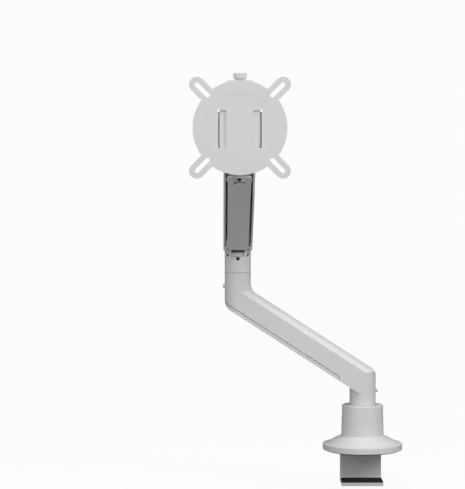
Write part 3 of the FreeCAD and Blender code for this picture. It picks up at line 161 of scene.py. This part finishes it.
# a finish that is coated, moulded or plated: colour, roughness and bump all vary over the surface
def makeFinish(name, look):
    material = bpy.data.materials.new(name)
    material.use_nodes = True
    tree = material.node_tree
    shader = tree.nodes["Principled BSDF"]
    grain = groupNode(tree, grainGroup, **{
        "Grain Size": look["grainSize"], "Mottle Size": look["mottleSize"], "Detail": look["detail"],
    })
    edge = groupNode(tree, edgeGroup, Radius=look["edgeRadius"], Strength=look["edgeStrength"])
    body = mixColour(tree, grain.outputs["Mottle"], look["colour"], look["colourTo"])
    # sharp edges get a lighter colour: a painted edge highlight, and paint worn thin at the edges
    tree.links.new(mixColour(tree, edge.outputs["Edge"], body, look["edgeHighlightAndWearColour"]), shader.inputs["Base Color"])
    rough = addNode(tree, "ShaderNodeMapRange", {
        "Value": grain.outputs["Mottle"], "From Min": mottleSpan[0], "From Max": mottleSpan[1],
        "To Min": look["roughness"][0], "To Max": look["roughness"][1],
    })
    tree.links.new(rough.outputs["Result"], shader.inputs["Roughness"])
    bump = addNode(tree, "ShaderNodeBump", {"Height": grain.outputs["Height"], "Distance": look["grainDepth"],
                                            "Strength": 1.0, "Normal": edge.outputs["Normal"]})
    tree.links.new(bump.outputs["Normal"], shader.inputs["Normal"])
    shader.inputs["Metallic"].default_value = look["metallic"]
    shader.inputs["Coat Weight"].default_value = look["coat"]
    shader.inputs["Coat Roughness"].default_value = coatRoughness
    return material


# each finish's edge colour is lighter than its body: a painted highlight on the sharp edges, and paint worn
# thin there
finishes = {
    "painted_casting": {
        "colour": grey(0.70), "colourTo": grey(0.74), "edgeHighlightAndWearColour": grey(0.80), "edgeStrength": 1.2,
        "grainSize": 0.0011, "mottleSize": 0.05, "detail": 2.0, "grainDepth": 0.000012, "edgeRadius": 0.0005,
        "roughness": (0.40, 0.47), "metallic": 0.0, "coat": 0.0,
    },
    "painted_steel": {
        "colour": grey(0.68), "colourTo": grey(0.72), "edgeHighlightAndWearColour": grey(0.78), "edgeStrength": 1.2,
        "grainSize": 0.0009, "mottleSize": 0.04, "detail": 3.0, "grainDepth": 0.00002, "edgeRadius": 0.0004,
        "roughness": (0.42, 0.50), "metallic": 0.0, "coat": 0.0,
    },
    "light_plastic": {
        "colour": grey(0.68), "colourTo": grey(0.71), "edgeHighlightAndWearColour": grey(0.76), "edgeStrength": 1.0,
        "grainSize": 0.0005, "mottleSize": 0.03, "detail": 1.0, "grainDepth": 0.00002, "edgeRadius": 0.0004,
        "roughness": (0.48, 0.56), "metallic": 0.0, "coat": 0.0,
    },
    "black_rubber": {
        "colour": grey(0.010), "colourTo": grey(0.016), "edgeHighlightAndWearColour": grey(0.03), "edgeStrength": 1.5,
        "grainSize": 0.0004, "mottleSize": 0.01, "detail": 3.0, "grainDepth": 0.00004, "edgeRadius": 0.0003,
        "roughness": (0.70, 0.85), "metallic": 0.0, "coat": 0.0,
    },
    "bush_plastic": {
        "colour": grey(0.085), "colourTo": grey(0.11), "edgeHighlightAndWearColour": grey(0.15), "edgeStrength": 1.0,
        "grainSize": 0.0005, "mottleSize": 0.01, "detail": 2.0, "grainDepth": 0.00001, "edgeRadius": 0.0003,
        "roughness": (0.40, 0.52), "metallic": 0.0, "coat": 0.0,
    },
    "black_steel": {
        "colour": grey(0.030), "colourTo": grey(0.045), "edgeHighlightAndWearColour": grey(0.16), "edgeStrength": 1.5,
        "grainSize": 0.0003, "mottleSize": 0.006, "detail": 3.0, "grainDepth": 0.000006, "edgeRadius": 0.0002,
        "roughness": (0.30, 0.42), "metallic": 0.9, "coat": 0.0,
    },
    "spring_black": {
        "colour": grey(0.020), "colourTo": grey(0.028), "edgeHighlightAndWearColour": grey(0.06), "edgeStrength": 1.0,
        "grainSize": 0.0012, "mottleSize": 0.02, "detail": 2.0, "grainDepth": 0.000008, "edgeRadius": 0.0004,
        "roughness": (0.22, 0.32), "metallic": 0.0, "coat": 0.3,
    },
    "bright_steel": {
        "colour": grey(0.66), "colourTo": grey(0.72), "edgeHighlightAndWearColour": grey(0.80), "edgeStrength": 1.0,
        "grainSize": 0.0002, "mottleSize": 0.01, "detail": 4.0, "grainDepth": 0.000002, "edgeRadius": 0.0003,
        "roughness": (0.14, 0.22), "metallic": 1.0, "coat": 0.0,
    },
    "zinc_steel": {
        "colour": grey(0.58, 0.01), "colourTo": grey(0.66, 0.02), "edgeHighlightAndWearColour": grey(0.76), "edgeStrength": 1.0,
        "grainSize": 0.0008, "mottleSize": 0.008, "detail": 4.0, "grainDepth": 0.000006, "edgeRadius": 0.0003,
        "roughness": (0.28, 0.42), "metallic": 1.0, "coat": 0.0,
    },
}
materials = {name: makeFinish(name, look) for name, look in finishes.items()}
slotOf = {part["node"]: part["material_slot"] for part in frame["record"]["subparts"]}
for name, node in nodes.items():
    node.data.materials.clear()
    node.data.materials.append(materials[slotOf[name]])
print("finishes made:", len(materials))


# selecting in code, then one round of edit mode
def selectFaces(piece, chosen):
    bpy.ops.object.mode_set(mode="OBJECT")
    for vertex in piece.data.vertices:
        vertex.select = False
    for edge in piece.data.edges:
        edge.select = False
    for face in piece.data.polygons:
        face.select = bool(chosen(face))
    bpy.ops.object.mode_set(mode="EDIT")
    bpy.ops.mesh.select_mode(type="FACE")


# takes the primitive just added and puts its place into its mesh
def startPiece(name):
    piece = bpy.context.object
    piece.name = name
    piece.data.name = name
    bpy.ops.object.mode_set(mode="OBJECT")
    bpy.ops.object.transform_apply(location=True, rotation=True, scale=True)
    return piece


def makeActive(piece):
    bpy.ops.object.mode_set(mode="OBJECT")
    bpy.ops.object.select_all(action="DESELECT")
    piece.select_set(True)
    bpy.context.view_layer.objects.active = piece


def applyModifiers(piece):
    makeActive(piece)
    for modifier in list(piece.modifiers):
        bpy.ops.object.modifier_apply(modifier=modifier.name)


def bevelSharp(piece, width, segments, angle):
    modifier = piece.modifiers.new("soft", "BEVEL")
    modifier.width = width
    modifier.segments = segments
    modifier.limit_method = "ANGLE"
    modifier.angle_limit = math.radians(angle)
    modifier.use_clamp_overlap = True
    applyModifiers(piece)


def cutWith(piece, tool):
    modifier = piece.modifiers.new("cut", "BOOLEAN")
    modifier.operation = "DIFFERENCE"
    modifier.object = tool
    modifier.solver = "EXACT"
    applyModifiers(piece)
    bpy.data.objects.remove(tool)


def finishPiece(piece, body, slot, node, smoothAngle=35):
    makeActive(piece)
    bpy.ops.object.shade_smooth_by_angle(angle=math.radians(smoothAngle))
    # flat faces keep their own normal beside a narrow bevel
    even = piece.modifiers.new("even", "WEIGHTED_NORMAL")
    even.keep_sharp = True
    applyModifiers(piece)
    piece.data.materials.clear()
    piece.data.materials.append(materials[slot])
    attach(piece, body)
    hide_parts(node)
    bpy.ops.object.select_all(action="DESELECT")


def hexTool(radius, depth, place, rotation=(0, 0, 0)):
    bpy.ops.object.select_all(action="DESELECT")
    bpy.ops.mesh.primitive_cylinder_add(vertices=6, radius=radius, depth=depth, location=place,
                                        rotation=rotation)
    return startPiece("hexTool")


# set screws: a small knurled head with a hexagonal socket, screwed into the neck and the elbow post
pegLook = {
    "knurls": 16, "knurlDepth": 0.00018, "headRadius": 0.0024, "headLength": 0.0025, "shankRadius": 0.0020,
    "socketRadius": 0.0012, "socketDepth": 0.0015, "edge": 0.0002, "edgeAngle": 50,
}


def makeSetScrew(look, name, node, body, side):
    low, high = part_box(node)
    centre = (low + high) / 2
    tip = high.x if side > 0 else low.x
    root = low.x if side > 0 else high.x
    bpy.ops.object.select_all(action="DESELECT")
    bpy.ops.mesh.primitive_cylinder_add(vertices=2 * look["knurls"], radius=look["headRadius"],
                                        depth=look["headLength"], rotation=(0, math.pi / 2, 0),
                                        location=(tip - side * look["headLength"] / 2, centre.y, centre.z))
    peg = startPiece(name)
    step = math.pi / look["knurls"]

    def isKnurl(face):
        turn = math.atan2(face.center.z - centre.z, face.center.y - centre.y) % (2 * math.pi)
        return abs(face.normal.x) < 0.5 and int(turn / step) % 2 == 0

    selectFaces(peg, isKnurl)
    bpy.ops.mesh.inset(thickness=look["knurlDepth"] / 2, depth=-look["knurlDepth"], use_individual=True)
    selectFaces(peg, lambda face: face.normal.x * side < -0.9)
    bpy.ops.mesh.inset(thickness=look["headRadius"] - look["shankRadius"], depth=0)
    bpy.ops.mesh.extrude_region_move(
        TRANSFORM_OT_translate={"value": (root - tip + side * look["headLength"], 0, 0)})
    bevelSharp(peg, look["edge"], 2, look["edgeAngle"])
    cutWith(peg, hexTool(look["socketRadius"], 2 * look["socketDepth"], (tip, centre.y, centre.z),
                         (0, math.pi / 2, 0)))
    finishPiece(peg, body, "zinc_steel", node)


makeSetScrew(pegLook, "neckPeg", "neck_set_screw", "lower_arm", 1)
makeSetScrew(pegLook, "elbowPeg", "elbow_set_screw", "lower_arm", -1)
print("set screws made")

# clamp screw: a socket head, a turned shank and a rolled thread
clampScrewLook = {
    "headRadius": 0.0060, "headHeight": 0.0046, "shankRadius": 0.0040, "coreRadius": 0.0034,
    "pitch": 0.00125, "ridge": 0.45, "threadStart": 0.6,  # ridge and threadStart are shares of the pitch
    "threadSteps": 32,
    "socketRadius": 0.0029, "socketDepth": 0.0030, "edge": 0.0004, "edgeAngle": 60,
}


def makeClampScrew(look):
    low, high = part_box("clamp_screw")
    centre = (low + high) / 2
    headLow = high.z - look["headHeight"]
    bpy.ops.object.select_all(action="DESELECT")
    bpy.ops.mesh.primitive_cylinder_add(vertices=48, radius=look["headRadius"], depth=look["headHeight"],
                                        location=(centre.x, centre.y, headLow + look["headHeight"] / 2))
    screw = startPiece("threadedClampScrew")
    selectFaces(screw, lambda face: face.normal.z < -0.9)
    bpy.ops.mesh.inset(thickness=look["headRadius"] - look["coreRadius"], depth=0)
    bpy.ops.mesh.extrude_region_move(TRANSFORM_OT_translate={"value": (0, 0, low.z - headLow)})
    bevelSharp(screw, look["edge"], 3, look["edgeAngle"])
    cutWith(screw, hexTool(look["socketRadius"], 2 * look["socketDepth"], (centre.x, centre.y, high.z)))
    # the thread's profile, a flat triangle sunk a little into the core, is carried round and up the shank
    depth = look["shankRadius"] - look["coreRadius"]
    sunk = look["coreRadius"] - depth / 4
    bpy.ops.object.select_all(action="DESELECT")
    bpy.ops.mesh.primitive_circle_add(vertices=3, radius=depth, rotation=(math.pi / 2, 0, 0))
    thread = startPiece("threadProfile")
    corners = [
        (look["shankRadius"], 0, 0),
        (sunk, 0, look["pitch"] * look["ridge"]),
        (sunk, 0, -look["pitch"] * look["ridge"]),
    ]
    for vertex, corner in zip(thread.data.vertices, corners):
        vertex.co = corner
    coil = thread.modifiers.new("coil", "SCREW")
    coil.screw_offset = look["pitch"]
    coil.iterations = int((headLow - low.z) / look["pitch"]) - 1
    coil.steps = look["threadSteps"]
    coil.render_steps = look["threadSteps"]
    coil.use_merge_vertices = True
    coil.merge_threshold = 0.00001
    applyModifiers(thread)
    bpy.ops.object.mode_set(mode="EDIT")
    bpy.ops.mesh.select_all(action="SELECT")
    bpy.ops.transform.translate(value=(centre.x, centre.y, low.z + look["pitch"] * look["threadStart"]))
    bpy.ops.mesh.normals_make_consistent(inside=False)
    bpy.ops.object.mode_set(mode="OBJECT")
    bpy.ops.object.select_all(action="DESELECT")
    thread.select_set(True)
    screw.select_set(True)
    bpy.context.view_layer.objects.active = screw
    bpy.ops.object.join()
    finishPiece(screw, "clamp_screw", "black_steel", "clamp_screw")


makeClampScrew(clampScrewLook)
print("clamp screw made")

# jaw pad: a rubber block with ribs across its top
jawPadLook = {"ribs": 9, "ribHeight": 0.0006, "edge": 0.0003, "edgeAngle": 50}


def makeJawPad(look):
    low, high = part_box("jaw_pad")
    centre = (low + high) / 2
    size = high - low
    floor = high.z - look["ribHeight"]
    bpy.ops.object.select_all(action="DESELECT")
    bpy.ops.mesh.primitive_cube_add(size=1, location=(centre.x, centre.y, (low.z + floor) / 2),
                                    scale=(size.x, size.y, floor - low.z))
    pad = startPiece("ribbedJawPad")
    bpy.ops.object.mode_set(mode="EDIT")
    strips = 2 * look["ribs"] + 1
    for i in range(1, strips):
        bpy.ops.mesh.select_all(action="SELECT")
        bpy.ops.mesh.bisect(plane_co=(0, low.y + size.y * i / strips, 0), plane_no=(0, 1, 0))
    strip = size.y / strips
    selectFaces(pad, lambda face: face.normal.z > 0.9 and int((face.center.y - low.y) / strip) % 2 == 0)
    bpy.ops.mesh.extrude_region_move(TRANSFORM_OT_translate={"value": (0, 0, look["ribHeight"])})
    bevelSharp(pad, look["edge"], 2, look["edgeAngle"])
    finishPiece(pad, "jaw", "black_rubber", "jaw_pad")


makeJawPad(jawPadLook)
print("jaw pad made")

# castings, pressings and mouldings whose sharp edges are rounded: each is a merged copy of its CAD node
# angles in degrees
softenLook = {"mergeDistance": 0.000001, "flatAngle": 0.5, "edgeAngle": 45, "smoothAngle": 27}
softened = {  # CAD node: (name, body, edge width)
    "screen_plate": ("stampedScreenPlate", "screen_mount", 0.0004),
    "receiver": ("castReceiver", "screen_mount", 0.0004),
    "clamp_bracket": ("bentClampBracket", "jaw", 0.0005),
    "upper_cable_cover": ("upperCoverMoulding", "link", 0.0003),
    "lower_cable_cover": ("lowerCoverMoulding", "lower_arm", 0.0003),
}


def softenNode(node, name, body, width):
    bpy.ops.object.select_all(action="DESELECT")
    source = nodes[node]
    copy = source.copy()
    copy.data = source.data.copy()
    copy.name = name
    copy.data.name = name
    bpy.context.scene.collection.objects.link(copy)
    copy.parent = None
    copy.select_set(True)
    bpy.context.view_layer.objects.active = copy
    bpy.ops.object.mode_set(mode="EDIT")
    bpy.ops.mesh.select_all(action="SELECT")
    bpy.ops.mesh.remove_doubles(threshold=softenLook["mergeDistance"])
    bpy.ops.mesh.dissolve_limited(angle_limit=math.radians(softenLook["flatAngle"]))
    bevelSharp(copy, width, 2, softenLook["edgeAngle"])
    finishPiece(copy, body, slotOf[node], node, softenLook["smoothAngle"])


for node, (name, body, width) in softened.items():
    softenNode(node, name, body, width)
print("softened pieces made:", len(softened))


# a pale floor that bends up into a wall
stageLook = {
    "front": -1.6, "back": 2.2, "halfWidth": 3.0, "wallHeight": 2.6, "bend": 0.9, "gap": 0.0002,
    "tone": 0.95, "toneSpread": 0.02, "bounce": 0.3, "glow": 0.93,
}


def makeStage(look):
    bpy.ops.mesh.primitive_plane_add(size=1)
    floor = bpy.context.object
    floor.name = "floorSweep"
    bpy.ops.object.mode_set(mode="EDIT")
    bpy.ops.mesh.select_all(action="SELECT")
    bpy.ops.transform.resize(value=(2 * look["halfWidth"], look["back"] - look["front"], 1))
    bpy.ops.transform.translate(value=(0, (look["back"] + look["front"]) / 2, cadLow.z - look["gap"]))
    bpy.ops.mesh.select_all(action="DESELECT")
    bpy.ops.object.mode_set(mode="OBJECT")
    for edge in floor.data.edges:
        edge.select = all(floor.data.vertices[i].co.y > look["back"] - 0.01 for i in edge.vertices)
    bpy.ops.object.mode_set(mode="EDIT")
    bpy.ops.mesh.select_mode(type="EDGE")
    bpy.ops.mesh.extrude_region_move(TRANSFORM_OT_translate={"value": (0, 0, look["wallHeight"])})
    bpy.ops.mesh.select_all(action="DESELECT")
    bpy.ops.object.mode_set(mode="OBJECT")
    bend = floor.modifiers.new("sweep", "BEVEL")
    bend.width = look["bend"]
    bend.segments = 24
    bend.limit_method = "ANGLE"
    bpy.ops.object.modifier_apply(modifier="sweep")
    bpy.ops.object.shade_smooth()
    return floor


def makeStageMaterial(look):
    material = bpy.data.materials.new("paleFloor")
    material.use_nodes = True
    tree = material.node_tree
    shader = tree.nodes["Principled BSDF"]
    output = tree.nodes["Material Output"]
    cloud = addNode(tree, "ShaderNodeTexNoise", {"Scale": 2.0, "Detail": 2.0})
    path = addNode(tree, "ShaderNodeLightPath")
    seen = mixColour(tree, cloud.outputs["Fac"], grey(look["tone"] - look["toneSpread"]), grey(look["tone"]))
    tree.links.new(mixColour(tree, path.outputs["Is Camera Ray"], grey(look["bounce"]), seen),
                   shader.inputs["Base Color"])
    shader.inputs["Roughness"].default_value = 0.8
    glow = addNode(tree, "ShaderNodeEmission", {"Color": grey(1.0), "Strength": 1.0})
    share = addMath(tree, "MULTIPLY", path.outputs["Is Camera Ray"], look["glow"])
    mix = addNode(tree, "ShaderNodeMixShader", {0: share})
    tree.links.new(shader.outputs[0], mix.inputs[1])
    tree.links.new(glow.outputs[0], mix.inputs[2])
    tree.links.new(mix.outputs[0], output.inputs["Surface"])
    return material


floorSweep = makeStage(stageLook)
floorSweep.data.materials.append(makeStageMaterial(stageLook))
print("stage made")


# a large soft key from the front right, a broad front light from the upper left, and the ceiling
lights = {
    "keyLight": {"place": (1.6, -1.8, 1.7), "size": 1.3, "power": 30},
    "frontLight": {"place": (-0.8, -2.8, 1.2), "size": 1.6, "power": 21},
    "topLight": {"place": (-0.3, -0.4, 2.2), "size": 1.8, "power": 24},
    "fillLight": {"place": (-1.9, -1.8, 0.6), "size": 1.4, "power": 3},
}
lightTarget = Vector((-0.1, -0.1, 0.2))


def makeLight(name, look):
    bpy.ops.object.light_add(type="AREA", location=look["place"])
    light = bpy.context.object
    light.name = name
    light.data.shape = "SQUARE"
    light.data.size = look["size"]
    light.data.energy = look["power"]
    light.rotation_euler = (lightTarget - light.location).to_track_quat("-Z", "Y").to_euler()
    light.visible_camera = False


for name, look in lights.items():
    makeLight(name, look)

# a dim sky lights the object, and a white one is seen past the floor's edge
skyLook = {"lighting": 0.25, "seen": 0.97}
world = bpy.data.worlds.new("softRoom")
bpy.context.scene.world = world
world.use_nodes = True
sky = world.node_tree.nodes["Background"]
sky.inputs["Color"].default_value = grey(1.0)
seenSky = addNode(world.node_tree, "ShaderNodeLightPath").outputs["Is Camera Ray"]
skyRange = addNode(world.node_tree, "ShaderNodeMapRange", {
    "Value": seenSky, "To Min": skyLook["lighting"], "To Max": skyLook["seen"],
})
world.node_tree.links.new(skyRange.outputs["Result"], sky.inputs["Strength"])
bpy.context.scene.view_settings.view_transform = "Standard"
print("lights made")

# down and turn are in degrees, lens and sensor in millimetres
cameraLook = {"place": (-0.1868, -2.668, 0.4186), "down": 3.145, "turn": -0.319, "lens": 149.45, "sensor": 36,
              "farthest": 50}
bpy.ops.object.camera_add(location=cameraLook["place"],
                          rotation=(math.radians(90 - cameraLook["down"]), 0, math.radians(cameraLook["turn"])))
camera = bpy.context.object
camera.data.sensor_width = cameraLook["sensor"]
camera.data.lens = cameraLook["lens"]
camera.data.clip_end = cameraLook["farthest"]
bpy.context.scene.camera = camera

bpy.ops.object.select_all(action="DESELECT")
